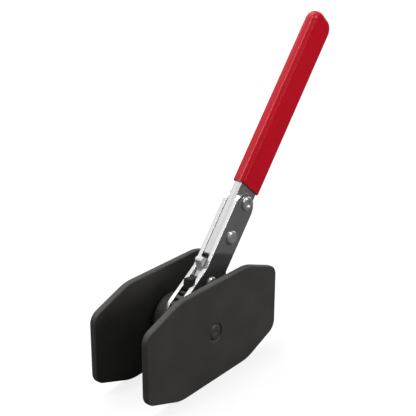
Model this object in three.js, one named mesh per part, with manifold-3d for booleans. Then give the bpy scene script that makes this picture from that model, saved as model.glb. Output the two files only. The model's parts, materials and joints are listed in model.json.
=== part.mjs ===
// Ratcheting brake piston press.
//
// Two octagonal press plates stand either side of a ratchet head. Each plate is swaged to a short
// screw, one right-handed and one left-handed, and both screws run in one threaded sleeve. Swinging
// the handle turns the sleeve through a toothed ring and a rocking pawl, and the plates move apart.
//
// Millimetres. X runs along the press plates, Y along the screws, Z is up. The solids are drawn
// with the screw axis at x = 0, z = 0 and the front plate's outer face at y = 0, and the whole
// group is then set down so that its origin is the middle of its footprint.

import * as THREE from 'three';
import { mergeVertices } from 'three/addons/utils/BufferGeometryUtils.js';
import Module from 'manifold-3d';

// ---------------------------------------------------------------- driving dimensions

const GAP = 0.3;                 // clearance left between neighbouring pieces
const ARC = 5;                   // segments on a rounded corner
const TURN = 40;                 // segments round a large turned piece
const SMALL_TURN = 20;           // segments round a rivet
const PIN_TURN = 16;             // segments round a pin or a small hole
const BOSS_TURN = 32;            // segments round the pawl's boss and its bore

// Press plates: an octagon with long level edges, short upright ends and sloping shoulders.
const PLATE_HALF_LENGTH = 57.5;
const PLATE_HALF_HEIGHT = 30;
const PLATE_END_HALF_HEIGHT = 20;
const PLATE_EDGE_HALF_LENGTH = 30.25;
const PLATE_THICKNESS = 4;
const PLATE_END_RADIUS = 7.5;
const PLATE_SHOULDER_RADIUS = 28;
const PLATE_EDGE_ROUND = 0.8;
const PRESS_WIDTH = 40.75;       // outer face to outer face, nearly closed

// Screws: a thread in the sleeve, and a spigot swaged into a countersink in the plate.
const THREAD_RADIUS = 8;
const SPIGOT_RADIUS = 4.6;
const SPIGOT_HEAD_RADIUS = 5.2;
const SPIGOT_HEAD_THICKNESS = 0.6;
const SPIGOT_RECESS = 0.15;      // the swaged end lies this far below the press face
const COUNTERSINK_DEPTH = 1.25;
const SCREW_END_GAP = 2;         // between the two screws' inner ends

// Ratchet head: middle plane, side plates and the bar's thickness between them.
const HEAD_MIDDLE = 21.4;        // distance of the head's middle plane from the front press face
const BAR_SPACE = 5;             // between the side plates
const SIDE_PLATE_THICKNESS = 2.5;
const SIDE_PLATE_EDGE_ROUND = 0.4;
const STRIP_HALF_WIDTH = 9.5;    // parallel part of the side plates
const STRIP_START = 30.7;        // where the flare to the round head begins
const STRIP_END = 81.6;          // tip of the rounded upper end
const HEAD_RADIUS = 18.3;        // round head about the screw axis

// Toothed ring, threaded sleeve and the parts that sit on them.
const SLEEVE_RADIUS = 14.4;
const SLEEVE_HALF_LENGTH = 13.4;
const SLEEVE_CHAMFER = 1;
const TOOTH_COUNT = 24;
const TOOTH_TIP_RADIUS = 18.9;
const TOOTH_ROOT_RADIUS = 16.6;
const TOOTH_SHARE = 0.44;        // tooth width as a share of the pitch
const WASHER_OUTER_RADIUS = 16;
const WASHER_THICKNESS = 0.5;
const KEY_RADIUS = 1.3;
const KEY_ANGLES = [0, Math.PI];

// Handle: leans from upright towards +X, and is measured along its own length from the screw axis.
const HANDLE_LEAN = THREE.MathUtils.degToRad(39.9);
const BAR_WIDTH = 18;
const BAR_START = 39;
const BAR_END = 197;
const BAR_END_RADIUS = 5;
const BAR_START_RADIUS = 1;
const BAR_EDGE_ROUND = 0.35;
const GRIP_WIDTH = 22;
const GRIP_THICKNESS = 8;
const GRIP_START = 85.3;
const GRIP_END = 202;
const GRIP_END_RADIUS = 7.5;
const GRIP_EDGE_ROUND = 3;

// Rivets through the side plates.
const RIVET_RADIUS = 3;
const RIVET_HEAD_RADIUS = 4.4;
const RIVET_HEAD_HEIGHT = 1.7;
const UPPER_RIVET_AT = 76;
const LOWER_RIVET_AT = 53.8;
const PAWL_PIVOT_AT = 25.3;

// Pawl: a rocker with two claws, drawn with one claw home and then turned back to neutral.
const PAWL_ROCK = THREE.MathUtils.degToRad(10);
const PAWL_BUSH_RADIUS = 4.2;
const PAWL_BOSS_RADIUS = 5.6;
const CLAW_ANGLE = THREE.MathUtils.degToRad(37.5);   // a tooth space, two and a half pitches out
const CLAW_TIP_RADIUS = 17;
const CLAW_ROOT_RADIUS = 20.6;
const CLAW_TIP_HALF_WIDTH = 0.7;
const CLAW_ROOT_HALF_WIDTH = 1.2;
const CLAW_SHOULDER = 2.6;       // the arm is this much longer than the claw on its outer side

// Thumb ear of the pawl as [across, along, corner radius], across being negative towards -X.
const THUMB_EAR = [
  [-3, 29.5, 0.5], [-5.5, 36.2, 1], [-12.8, 35.9, 0.9], [-14.1, 34.4, 0.4], [-14.1, 32.8, 0.4],
  [-9.4, 29.6, 0.8], [-8.4, 28.4, 0.4], [-8.3, 23.6, 0.6], [-3, 22.6, 0.5],
];
// Where the arm leaves the pawl's boss, below and above the pivot, in the same terms.
const ARM_LOWER_ROOT = [-4.2, PAWL_PIVOT_AT - 3.6];
const ARM_UPPER_ROOT = [-1, PAWL_PIVOT_AT + PAWL_BOSS_RADIUS - 0.5];

// Detent: a plunger and spring in a hole drilled up the bar's lower end.
const DETENT_HOLE_RADIUS = 1.6;
const DETENT_HOLE_DEPTH = 12;
const PLUNGER_RADIUS = 1.3;
const PLUNGER_LENGTH = 11.2;
const PLUNGER_TRAVEL = 0.6;
const SPRING_RADIUS = 1.1;
const SPRING_WIRE_RADIUS = 0.25;
const SPRING_TURNS = 5;
const SPRING_STEPS = 12;         // straight steps in one turn of the spring

// Places that follow from those dimensions.
const FRONT_INNER_FACE = PLATE_THICKNESS;
const PAWL_THICKNESS = BAR_SPACE - 2 * GAP;
const HEAD_NEAR = HEAD_MIDDLE - PAWL_THICKNESS / 2;
const HEAD_FAR = HEAD_MIDDLE + PAWL_THICKNESS / 2;
const SIDE_PLATE_INSET = BAR_SPACE / 2;
const WEB_HALF_THICKNESS = SIDE_PLATE_INSET - WASHER_THICKNESS - 2 * GAP;
const RIVET_HALF_GRIP = SIDE_PLATE_INSET + SIDE_PLATE_THICKNESS + GAP;
const FRONT_SCREW_END = HEAD_MIDDLE - SCREW_END_GAP / 2;
const REAR_SCREW_END = PRESS_WIDTH - HEAD_MIDDLE - SCREW_END_GAP / 2;

// ---------------------------------------------------------------- materials

const finish = (color, roughness, metalness) =>
  new THREE.MeshStandardMaterial({ color, roughness, metalness });

const BLACK_OXIDE = finish(0x3a3a39, 0.55, 0.6);
const SCREW_STEEL = finish(0x4a4440, 0.45, 0.8);
const NICKEL_PLATE = finish(0xc8cbce, 0.18, 1.0);
const BAR_STEEL = finish(0xa9abad, 0.3, 1.0);
const RED_VINYL = finish(0xb8081c, 0.35, 0.0);
const SPRING_STEEL = finish(0x8d9094, 0.3, 1.0);
const BRONZE = finish(0x9a7442, 0.4, 1.0);

// ---------------------------------------------------------------- geometry helpers

const wasm = await Module();
wasm.setup();

/** Turns a closed three.js geometry into a solid that can be cut and joined. */
function toSolid(geometry) {
  const bare = geometry.clone();
  bare.deleteAttribute('normal');
  bare.deleteAttribute('uv');
  const merged = mergeVertices(bare, 1e-4);
  return new wasm.Manifold(new wasm.Mesh({
    numProp: 3,
    vertProperties: new Float32Array(merged.attributes.position.array),
    triVerts: new Uint32Array(merged.index.array),
  }));
}

/** Turns a solid back into a three.js geometry. */
function toGeometry(solid) {
  const mesh = solid.getMesh();
  const geometry = new THREE.BufferGeometry();
  geometry.setAttribute('position', new THREE.BufferAttribute(new Float32Array(mesh.vertProperties), 3));
  geometry.setIndex(new THREE.BufferAttribute(new Uint32Array(mesh.triVerts), 1));
  geometry.computeVertexNormals();
  return geometry;
}

const cut = (geometry, ...tools) =>
  toGeometry(tools.reduce((solid, tool) => solid.subtract(toSolid(tool)), toSolid(geometry)));

const join = (...pieces) =>
  toGeometry(pieces.map(toSolid).reduce((whole, piece) => whole.add(piece)));

/** A closed outline through the corners, each corner rounded by its own radius. */
function roundedOutline(corners) {
  const shape = new THREE.Shape();
  corners.forEach(([x, y, radius], index) => {
    const corner = new THREE.Vector2(x, y);
    const neighbour = (step) => {
      const [nx, ny] = corners[(index + step + corners.length) % corners.length];
      return new THREE.Vector2(nx, ny).sub(corner).normalize();
    };
    const back = neighbour(-1);
    const ahead = neighbour(1);
    const halfAngle = Math.acos(THREE.MathUtils.clamp(back.dot(ahead), -1, 1)) / 2;
    const reach = radius / Math.tan(halfAngle);
    const start = corner.clone().addScaledVector(back, reach);
    const end = corner.clone().addScaledVector(ahead, reach);
    const centre = back.clone().add(ahead).setLength(radius / Math.sin(halfAngle)).add(corner);
    const clockwise = back.cross(ahead) > 0;
    if (index === 0) shape.moveTo(start.x, start.y);
    else shape.lineTo(start.x, start.y);
    shape.absarc(centre.x, centre.y, radius, start.clone().sub(centre).angle(),
      end.clone().sub(centre).angle(), clockwise);
  });
  shape.closePath();
  return shape;
}

/** Extrudes an outline drawn in (x, z) between two planes square to Y, with rounded edges. */
function slab(shape, near, far, round = 0, { arc = ARC, roundSteps = 2 } = {}) {
  const geometry = new THREE.ExtrudeGeometry(shape, {
    depth: far - near - 2 * round,
    curveSegments: arc,
    bevelEnabled: round > 0,
    bevelThickness: round,
    bevelSize: round,
    bevelOffset: -round,
    bevelSegments: roundSteps,
  });
  return geometry.translate(0, 0, round).rotateX(Math.PI / 2).translate(0, far, 0);
}

/** Turns a profile of [radius, y] points about the Y axis. */
function turned(profile, segments = TURN) {
  return new THREE.LatheGeometry(profile.map(([radius, y]) => new THREE.Vector2(radius, y)), segments);
}

/** A ring turned about the Y axis. */
const ring = (inner, outer, near, far, segments = TURN) =>
  turned([[inner, near], [outer, near], [outer, far], [inner, far], [inner, near]], segments);

/** A plain round bar along Y, used as a cutter and for pins. */
const rod = (radius, near, far, segments = SMALL_TURN) =>
  turned([[0, near], [radius, near], [radius, far], [0, far]], segments);

function named(name, geometry, material) {
  const mesh = new THREE.Mesh(geometry, material);
  mesh.name = name;
  return mesh;
}

/** Mirrors a turned profile from the front press side to the rear press side. */
const toRear = (profile) => profile.map(([radius, y]) => [radius, PRESS_WIDTH - y]).reverse();

// ---------------------------------------------------------------- press plates and screws

function plateOutline() {
  const shoulder = [PLATE_EDGE_HALF_LENGTH, PLATE_HALF_HEIGHT, PLATE_SHOULDER_RADIUS];
  const end = [PLATE_HALF_LENGTH, PLATE_END_HALF_HEIGHT, PLATE_END_RADIUS];
  const quarter = (sx, sz, [x, z, radius]) => [sx * x, sz * z, radius];
  return roundedOutline([
    quarter(1, -1, end), quarter(1, 1, end), quarter(1, 1, shoulder), quarter(-1, 1, shoulder),
    quarter(-1, 1, end), quarter(-1, -1, end), quarter(-1, -1, shoulder), quarter(1, -1, shoulder),
  ]);
}

/** Profile of the hole for the swaged spigot, seen from the front press face. */
const spigotHole = [
  [0, -GAP],
  [SPIGOT_HEAD_RADIUS + 2 * GAP, -GAP],
  [SPIGOT_HEAD_RADIUS + GAP, COUNTERSINK_DEPTH],
  [SPIGOT_RADIUS + GAP, COUNTERSINK_DEPTH],
  [SPIGOT_RADIUS + GAP, PLATE_THICKNESS + GAP],
  [0, PLATE_THICKNESS + GAP],
];

/** Profile of the front screw: swaged head, spigot, shoulder and thread. */
const screwProfile = (innerEnd) => [
  [0, SPIGOT_RECESS],
  [SPIGOT_HEAD_RADIUS - 0.5, SPIGOT_RECESS],
  [SPIGOT_HEAD_RADIUS, SPIGOT_RECESS + 0.25],
  [SPIGOT_HEAD_RADIUS, SPIGOT_RECESS + SPIGOT_HEAD_THICKNESS],
  [SPIGOT_RADIUS, SPIGOT_RECESS + SPIGOT_HEAD_THICKNESS],
  [SPIGOT_RADIUS, FRONT_INNER_FACE + GAP],
  [THREAD_RADIUS, FRONT_INNER_FACE + GAP],
  [THREAD_RADIUS, innerEnd - 1],
  [THREAD_RADIUS - 1, innerEnd],
  [0, innerEnd],
];

function pressParts() {
  const front = slab(plateOutline(), 0, PLATE_THICKNESS, PLATE_EDGE_ROUND);
  const rear = slab(plateOutline(), PRESS_WIDTH - PLATE_THICKNESS, PRESS_WIDTH, PLATE_EDGE_ROUND);
  return [
    named('front_press_plate', cut(front, turned(spigotHole, SMALL_TURN)), BLACK_OXIDE),
    named('rear_press_plate', cut(rear, turned(toRear(spigotHole), SMALL_TURN)), BLACK_OXIDE),
    named('front_screw', turned(screwProfile(FRONT_SCREW_END)), SCREW_STEEL),
    named('rear_screw', turned(toRear(screwProfile(REAR_SCREW_END))), SCREW_STEEL),
  ];
}

// ---------------------------------------------------------------- ratchet wheel

function toothedOutline() {
  const pitch = (2 * Math.PI) / TOOTH_COUNT;
  const half = (pitch * TOOTH_SHARE) / 2;
  const points = [];
  for (let tooth = 0; tooth < TOOTH_COUNT; tooth += 1) {
    const middle = tooth * pitch;
    for (const [angle, radius] of [
      [middle - half, TOOTH_ROOT_RADIUS], [middle - half, TOOTH_TIP_RADIUS],
      [middle + half, TOOTH_TIP_RADIUS], [middle + half, TOOTH_ROOT_RADIUS],
    ]) {
      points.push(new THREE.Vector2(radius * Math.sin(angle), radius * Math.cos(angle)));
    }
  }
  return new THREE.Shape(points);
}

/** The keys lie half in the sleeve and half in the toothed ring. */
function keyPins(radius, near, far) {
  return KEY_ANGLES.map((angle) => rod(radius, near, far, PIN_TURN).translate(
    SLEEVE_RADIUS * Math.cos(angle), 0, SLEEVE_RADIUS * Math.sin(angle)));
}

function wheelParts() {
  const near = HEAD_MIDDLE - WEB_HALF_THICKNESS;
  const far = HEAD_MIDDLE + WEB_HALF_THICKNESS;
  const keyways = keyPins(KEY_RADIUS + GAP, near - GAP, far + GAP);
  const boreRadius = SLEEVE_RADIUS + GAP;
  const recessRadius = WASHER_OUTER_RADIUS + GAP;
  const toothed = cut(
    slab(toothedOutline(), HEAD_NEAR, HEAD_FAR),
    rod(boreRadius, HEAD_NEAR - 1, HEAD_FAR + 1, TURN),
    rod(recessRadius, HEAD_NEAR - 1, near, TURN),
    rod(recessRadius, far, HEAD_FAR + 1, TURN),
    ...keyways,
  );
  const sleeveNear = HEAD_MIDDLE - SLEEVE_HALF_LENGTH;
  const sleeveFar = HEAD_MIDDLE + SLEEVE_HALF_LENGTH;
  const threadBore = THREAD_RADIUS + GAP;
  const sleeve = turned([
    [threadBore, sleeveNear], [SLEEVE_RADIUS - SLEEVE_CHAMFER, sleeveNear],
    [SLEEVE_RADIUS, sleeveNear + SLEEVE_CHAMFER], [SLEEVE_RADIUS, sleeveFar - SLEEVE_CHAMFER],
    [SLEEVE_RADIUS - SLEEVE_CHAMFER, sleeveFar], [threadBore, sleeveFar], [threadBore, sleeveNear],
  ]);
  const [firstKey, secondKey] = keyPins(KEY_RADIUS, near, far);
  const washerInner = SLEEVE_RADIUS + GAP;
  return {
    wheel: [
      named('ratchet_ring', toothed, BLACK_OXIDE),
      named('threaded_sleeve', cut(sleeve, ...keyways), BLACK_OXIDE),
      named('sleeve_key_right', firstKey, SPRING_STEEL),
      named('sleeve_key_left', secondKey, SPRING_STEEL),
    ],
    washers: [
      named('front_thrust_washer',
        ring(washerInner, WASHER_OUTER_RADIUS, HEAD_NEAR, HEAD_NEAR + WASHER_THICKNESS), BRONZE),
      named('rear_thrust_washer',
        ring(washerInner, WASHER_OUTER_RADIUS, HEAD_FAR - WASHER_THICKNESS, HEAD_FAR), BRONZE),
    ],
  };
}

// ---------------------------------------------------------------- handle

/** Side plate outline: round head, straight flare, parallel strip and round upper end. */
function sidePlateOutline() {
  const reach = Math.hypot(STRIP_HALF_WIDTH, STRIP_START);
  const flare = Math.asin(HEAD_RADIUS / reach) - Math.atan2(STRIP_HALF_WIDTH, STRIP_START);
  const topCentre = STRIP_END - STRIP_HALF_WIDTH;
  const shape = new THREE.Shape();
  shape.moveTo(STRIP_HALF_WIDTH, STRIP_START);
  shape.lineTo(STRIP_HALF_WIDTH, topCentre);
  shape.absarc(0, topCentre, STRIP_HALF_WIDTH, 0, Math.PI, false);
  shape.lineTo(-STRIP_HALF_WIDTH, STRIP_START);
  shape.absarc(0, 0, HEAD_RADIUS, Math.PI - flare, flare, false);
  shape.closePath();
  return shape;
}

function sidePlate(near) {
  const far = near + SIDE_PLATE_THICKNESS;
  const holes = [UPPER_RIVET_AT, LOWER_RIVET_AT, PAWL_PIVOT_AT].map((at) =>
    rod(RIVET_RADIUS + GAP, near - 1, far + 1, PIN_TURN).translate(0, 0, at));
  return cut(
    slab(sidePlateOutline(), near, far, SIDE_PLATE_EDGE_ROUND, { arc: 12, roundSteps: 1 }),
    rod(SLEEVE_RADIUS + GAP, near - 1, far + 1, TURN),
    ...holes,
  );
}

/** A cutter or plunger that stands along the handle: a profile of [radius, distance] points. */
const alongHandle = (profile, segments = SMALL_TURN) =>
  turned(profile, segments).rotateX(Math.PI / 2).translate(0, HEAD_MIDDLE, 0);

function handleBar() {
  const half = BAR_WIDTH / 2;
  const outline = roundedOutline([
    [half, BAR_START, BAR_START_RADIUS], [half, BAR_END, BAR_END_RADIUS],
    [-half, BAR_END, BAR_END_RADIUS], [-half, BAR_START, BAR_START_RADIUS],
  ]);
  const bar = slab(outline, HEAD_NEAR, HEAD_FAR, BAR_EDGE_ROUND);
  const rivetHoles = [UPPER_RIVET_AT, LOWER_RIVET_AT].map((at) =>
    rod(RIVET_RADIUS + GAP, HEAD_NEAR - 1, HEAD_FAR + 1).translate(0, 0, at));
  const holeTop = BAR_START + DETENT_HOLE_DEPTH;
  const detentHole = alongHandle([
    [0, BAR_START - 1], [DETENT_HOLE_RADIUS, BAR_START - 1], [DETENT_HOLE_RADIUS, holeTop], [0, holeTop],
  ], PIN_TURN);
  return cut(bar, ...rivetHoles, detentHole);
}

/** Dipped grip: a rounded sleeve, cut square at its open end, with a pocket for the bar. */
function handleGrip() {
  const half = GRIP_WIDTH / 2;
  const belowCut = GRIP_START - 2 * GRIP_END_RADIUS;
  const outline = roundedOutline([
    [half, belowCut, GRIP_END_RADIUS], [half, GRIP_END, GRIP_END_RADIUS],
    [-half, GRIP_END, GRIP_END_RADIUS], [-half, belowCut, GRIP_END_RADIUS],
  ]);
  const near = HEAD_MIDDLE - GRIP_THICKNESS / 2;
  const far = HEAD_MIDDLE + GRIP_THICKNESS / 2;
  const endCut = new THREE.BoxGeometry(2 * GRIP_WIDTH, 2 * GRIP_THICKNESS, 2 * GRIP_WIDTH);
  endCut.translate(0, HEAD_MIDDLE, GRIP_START - GRIP_WIDTH);
  const pocketHalf = BAR_WIDTH / 2 + GAP;
  const pocket = slab(roundedOutline([
    [pocketHalf, GRIP_START - 1, 0.5], [pocketHalf, BAR_END + GAP, BAR_END_RADIUS],
    [-pocketHalf, BAR_END + GAP, BAR_END_RADIUS], [-pocketHalf, GRIP_START - 1, 0.5],
  ]), HEAD_NEAR - GAP, HEAD_FAR + GAP);
  return cut(slab(outline, near, far, GRIP_EDGE_ROUND), endCut, pocket);
}

/** A rivet along Y with a low domed head on each side plate. */
function rivet(at) {
  const dome = [[1, 0], [0.9, 0.45], [0.62, 0.82], [0.3, 0.97], [0, 1]].map(([across, up]) =>
    [RIVET_HEAD_RADIUS * across, RIVET_HALF_GRIP + RIVET_HEAD_HEIGHT * up]);
  const half = [[RIVET_RADIUS, RIVET_HALF_GRIP], ...dome];
  const profile = [...half.map(([radius, y]) => [radius, -y]).reverse(), ...half];
  return turned(profile, SMALL_TURN).translate(0, HEAD_MIDDLE, at);
}

function detentSpring() {
  const plungerEnd = PAWL_PIVOT_AT + PAWL_BOSS_RADIUS + GAP + PLUNGER_LENGTH;
  const start = plungerEnd + PLUNGER_TRAVEL + GAP + SPRING_WIRE_RADIUS;
  const end = BAR_START + DETENT_HOLE_DEPTH - GAP - SPRING_WIRE_RADIUS;
  const centreline = new THREE.Curve();
  centreline.getPoint = (t, target = new THREE.Vector3()) => {
    const angle = 2 * Math.PI * SPRING_TURNS * t;
    return target.set(SPRING_RADIUS * Math.cos(angle), HEAD_MIDDLE + SPRING_RADIUS * Math.sin(angle),
      THREE.MathUtils.lerp(start, end, t));
  };
  const wire = new THREE.Shape().absarc(0, 0, SPRING_WIRE_RADIUS, 0, 2 * Math.PI, false);
  return new THREE.ExtrudeGeometry(wire, {
    extrudePath: centreline,
    steps: SPRING_STEPS * SPRING_TURNS,
    curveSegments: 3,
    bevelEnabled: false,
  });
}

function detentPlunger() {
  const tip = PAWL_PIVOT_AT + PAWL_BOSS_RADIUS + GAP;
  return alongHandle([
    [0, tip], [PLUNGER_RADIUS / 2, tip + 0.2], [PLUNGER_RADIUS, tip + 1],
    [PLUNGER_RADIUS, tip + PLUNGER_LENGTH], [0, tip + PLUNGER_LENGTH],
  ], PIN_TURN);
}

function handleParts() {
  const frontNear = HEAD_MIDDLE - SIDE_PLATE_INSET - SIDE_PLATE_THICKNESS;
  const bush = ring(RIVET_RADIUS + GAP, PAWL_BUSH_RADIUS, HEAD_NEAR, HEAD_FAR, SMALL_TURN);
  return [
    named('front_side_plate', sidePlate(frontNear), NICKEL_PLATE),
    named('rear_side_plate', sidePlate(HEAD_MIDDLE + SIDE_PLATE_INSET), NICKEL_PLATE),
    named('handle_bar', handleBar(), BAR_STEEL),
    named('handle_grip', handleGrip(), RED_VINYL),
    named('upper_rivet', rivet(UPPER_RIVET_AT), NICKEL_PLATE),
    named('lower_rivet', rivet(LOWER_RIVET_AT), NICKEL_PLATE),
    named('pawl_rivet', rivet(PAWL_PIVOT_AT), NICKEL_PLATE),
    named('pawl_bush', bush.translate(0, 0, PAWL_PIVOT_AT), BRONZE),
    named('detent_plunger', detentPlunger(), SPRING_STEEL),
    named('detent_spring', detentSpring(), SPRING_STEEL),
  ];
}

// ---------------------------------------------------------------- pawl

/** One arm of the rocker, drawn with its claw home between two teeth on the -X side. */
function pawlArm() {
  const claw = (radius, offset) => [
    -radius * Math.sin(CLAW_ANGLE) + offset * Math.cos(CLAW_ANGLE),
    radius * Math.cos(CLAW_ANGLE) + offset * Math.sin(CLAW_ANGLE),
  ];
  const corners = [
    claw(CLAW_TIP_RADIUS, CLAW_TIP_HALF_WIDTH),
    claw(CLAW_ROOT_RADIUS, CLAW_ROOT_HALF_WIDTH),
    ARM_LOWER_ROOT,
    ARM_UPPER_ROOT,
    claw(CLAW_ROOT_RADIUS + CLAW_SHOULDER, -CLAW_ROOT_HALF_WIDTH),
    claw(CLAW_ROOT_RADIUS, -CLAW_ROOT_HALF_WIDTH),
    claw(CLAW_TIP_RADIUS, -CLAW_TIP_HALF_WIDTH),
  ];
  const shape = new THREE.Shape(corners.map(([x, z]) => new THREE.Vector2(x, z)));
  return slab(shape, HEAD_NEAR, HEAD_FAR);
}

/** Turns a piece about the pawl's pivot; a positive angle lifts the -X claw clear of the teeth. */
const rockAboutPivot = (geometry, angle) =>
  geometry.translate(0, 0, -PAWL_PIVOT_AT).rotateY(angle).translate(0, 0, PAWL_PIVOT_AT);

/** Thumb lever: a hooked ear that stands out past the side plates' edge. */
const thumbEar = () => slab(roundedOutline(THUMB_EAR), HEAD_NEAR, HEAD_FAR);

function pawlParts() {
  const left = rockAboutPivot(pawlArm(), PAWL_ROCK);
  const right = toGeometry(toSolid(left).mirror([1, 0, 0]));
  const boss = rod(PAWL_BOSS_RADIUS, HEAD_NEAR, HEAD_FAR, BOSS_TURN);
  const bore = rod(PAWL_BUSH_RADIUS + GAP, HEAD_NEAR - 1, HEAD_FAR + 1, BOSS_TURN);
  boss.translate(0, 0, PAWL_PIVOT_AT);
  bore.translate(0, 0, PAWL_PIVOT_AT);
  return [named('pawl', cut(join(boss, left, right, thumbEar()), bore), NICKEL_PLATE)];
}

// ---------------------------------------------------------------- assembly

const press = new THREE.Group();
press.add(...pressParts());

const { wheel, washers } = wheelParts();
const head = new THREE.Group();
head.add(...wheel, ...washers, ...handleParts(), ...pawlParts());
head.rotation.y = HANDLE_LEAN;

const group = new THREE.Group();
group.add(press, head);
group.updateMatrixWorld(true);

const bounds = new THREE.Box3().setFromObject(group, true);
const middle = bounds.getCenter(new THREE.Vector3());
group.position.set(-middle.x, -middle.y, -bounds.min.z);

export default group;
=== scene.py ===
"""Finished look of a ratcheting brake piston press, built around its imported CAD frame."""

import json
import math

import bpy
from mathutils import Matrix, Vector


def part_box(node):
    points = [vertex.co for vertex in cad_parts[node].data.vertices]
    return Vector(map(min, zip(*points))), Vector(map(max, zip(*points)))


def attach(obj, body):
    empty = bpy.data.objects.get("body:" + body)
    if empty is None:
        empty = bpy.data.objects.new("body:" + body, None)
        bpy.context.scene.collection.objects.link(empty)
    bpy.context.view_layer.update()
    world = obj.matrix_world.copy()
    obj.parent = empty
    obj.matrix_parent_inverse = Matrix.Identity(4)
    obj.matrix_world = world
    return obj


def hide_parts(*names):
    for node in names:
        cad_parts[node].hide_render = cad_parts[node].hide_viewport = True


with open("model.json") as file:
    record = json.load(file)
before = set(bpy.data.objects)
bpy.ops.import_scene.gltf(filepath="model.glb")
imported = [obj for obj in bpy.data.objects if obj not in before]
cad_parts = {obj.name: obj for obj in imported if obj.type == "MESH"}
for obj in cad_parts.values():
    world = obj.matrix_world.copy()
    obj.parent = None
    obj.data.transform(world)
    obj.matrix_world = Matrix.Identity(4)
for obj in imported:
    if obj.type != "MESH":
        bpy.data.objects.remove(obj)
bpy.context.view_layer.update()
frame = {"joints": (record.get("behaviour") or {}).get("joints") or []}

# ------------------------------------------------------------------ places taken from the frame

MM = 0.001
joints = {joint["name"]: joint for joint in frame["joints"]}
HEAD_CENTRE = Vector(joints["handle_swing"]["pos_m"])
HANDLE_DIRECTION = Vector(joints["detent_press"]["axis"])
HANDLE_LEAN = math.atan2(HANDLE_DIRECTION.x, HANDLE_DIRECTION.z)

# Pieces of the head and handle are modelled upright about the screw axis, then leaned over.
# Pieces of the presses are modelled square about the screw axis. Both start at the head's middle.
HANDLE_PLACE = Matrix.Translation(HEAD_CENTRE) @ Matrix.Rotation(HANDLE_LEAN, 4, "Y")
PRESS_PLACE = Matrix.Translation(HEAD_CENTRE)

FRONT_FACE = (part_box("front_press_plate")[0].y - HEAD_CENTRE.y) / MM
REAR_FACE = (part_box("rear_press_plate")[1].y - HEAD_CENTRE.y) / MM

# ------------------------------------------------------------------ dimensions, in millimetres

PLATE_THICKNESS = 4
PLATE_END = (57.5, 20, 7.5)            # half length, half height of the end, corner radius
PLATE_SHOULDER = (30.25, 30, 28)       # half length of the level edge, half height, corner radius
PLATE_EDGE_ROUND = 0.9

SPIGOT_RADIUS = 4.6
SPIGOT_RECESS = 0.15
SWAGED_HEAD = [                        # (radius, depth below the screw's end), from the axis out
    (0, 0.12), (1.2, 0.12), (1.5, 0.0), (SPIGOT_RADIUS - 1.2, 0.0), (SPIGOT_RADIUS - 0.8, 0.08),
    (SPIGOT_RADIUS - 0.2, 0.5), (SPIGOT_RADIUS, 0.75), (SPIGOT_RADIUS, 0.95)]
COUNTERSINK_RADIUS = 5.4
COUNTERSINK_DEPTH = 0.7
COUNTERSINK_LIP = 0.25                 # the sink's mouth is broken by this much
COUNTERSINK_TAPER = 0.1
THREAD_RADIUS = 8
THREAD_DEPTH = 1.1
THREAD_PITCH = 3
THREAD_CREST_SHARE = 0.18              # half crest and flank, as shares of the pitch
THREAD_FLANK_SHARE = 0.15
THREAD_STEPS = 48                      # steps in one turn
SCREW_END_CHAMFER = 1.2
SHOULDER_CHAMFER = 0.4
SHOULDER_LENGTH = 1.3
THREAD_RUN_OUT = 2.0                   # distance from the shoulder to the full thread's root
SCREW_INNER_END = 1                    # distance of both screws' inner ends from the head's middle

BAR_SPACE = 5
PIECE_HALF = 2.2                       # of the ring and pawl, which run between the side plates
BAR_HALF_THICKNESS = 2.48              # the bar is gripped by the side plates
SIDE_PLATE_THICKNESS = 2.5
SIDE_PLATE_ROLL = 0.4                  # rolled-over outer edge of the blanked side plates
SIDE_PLATE_INNER_EDGE = 0.12           # the inner edge is nearly sharp
BAR_EDGE_ROUND = 0.25
STRIP_HALF_WIDTH = 9.5
STRIP_START = 30.7
STRIP_END = 81.6
HEAD_RADIUS = 18.3

SLEEVE_RADIUS = 14.4
SLEEVE_HALF_LENGTH = 13.4
SLEEVE_CHAMFER = 1.0
SLEEVE_PLAIN_HALF = 3.0                # half length of the middle, where the keys sit
SLEEVE_GROOVE = (3.0, 3.25, 3.75, 4.0) # the groove's corners, from the sleeve's end
SLEEVE_GROOVE_DEPTH = 0.25
CLEARANCE = 0.3
TOOTH_COUNT = 24
TOOTH_TIP_RADIUS = 18.9
TOOTH_ROOT_RADIUS = 16.6
TOOTH_SHARE = 0.44
WASHER_RADIUS = 16
WASHER_THICKNESS = 0.5
WEB_HALF = 1.4
KEY_RADIUS = 1.3

BAR_HALF_WIDTH = 9
BAR_START = 39
BAR_END = 197
BAR_END_RADIUS = 5
GRIP_HALF_WIDTH = 11
GRIP_HALF_THICKNESS = 4
GRIP_START = 85.3
GRIP_END = 201.97
GRIP_END_RADIUS = 7.5
GRIP_EDGE_ROUND = 3

RIVET_RADIUS = 3
RIVET_HEAD_RADIUS = 4.4
UPPER_HEAD_HEIGHT = 1.8
LOWER_HEAD_HEIGHT = 2.0
PIVOT_HEAD_RADIUS = 3.8
PIVOT_HEAD_HEIGHT = 1.7
HEAD_SEAT_GAP = 0.02                   # keeps a head's underside off the side plate
UPPER_RIVET_AT = 76
LOWER_RIVET_AT = 53.8
PAWL_PIVOT_AT = 25.3

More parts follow.
